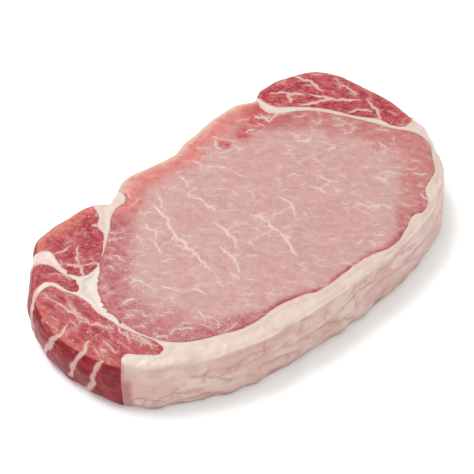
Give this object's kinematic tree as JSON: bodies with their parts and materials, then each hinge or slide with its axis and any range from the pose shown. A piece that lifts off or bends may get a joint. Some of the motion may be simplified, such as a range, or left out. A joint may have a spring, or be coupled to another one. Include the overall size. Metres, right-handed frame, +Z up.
{
  "type": "raw pork chop",
  "caption": "Raw boneless pork loin chop: a thick slice with a pale round eye muscle, darker muscles at both ends, thin fat seams between them and a fat cap along one side.",
  "frame": {"origin": "under the middle of the slice, on the flat cut face it rests on", "axes": "+X along the slice from the flank end to the chine end, +Y from the back fat to the boned side, +Z up out of the upper cut face"},
  "size_m": [0.1478, 0.086, 0.0196],
  "materials": {
    "pale_lean": "moist, soft sheen",
    "dark_lean": "moist, soft sheen",
    "fat": "waxy, slightly moist"
  },
  "bodies": {
    "root": {"eye_muscle": "pale_lean", "rib_muscle": "dark_lean", "rib_strip": "dark_lean", "flank_muscle": "dark_lean", "chine_muscle": "dark_lean", "fat": "fat"}
  },
  "joints": []
}
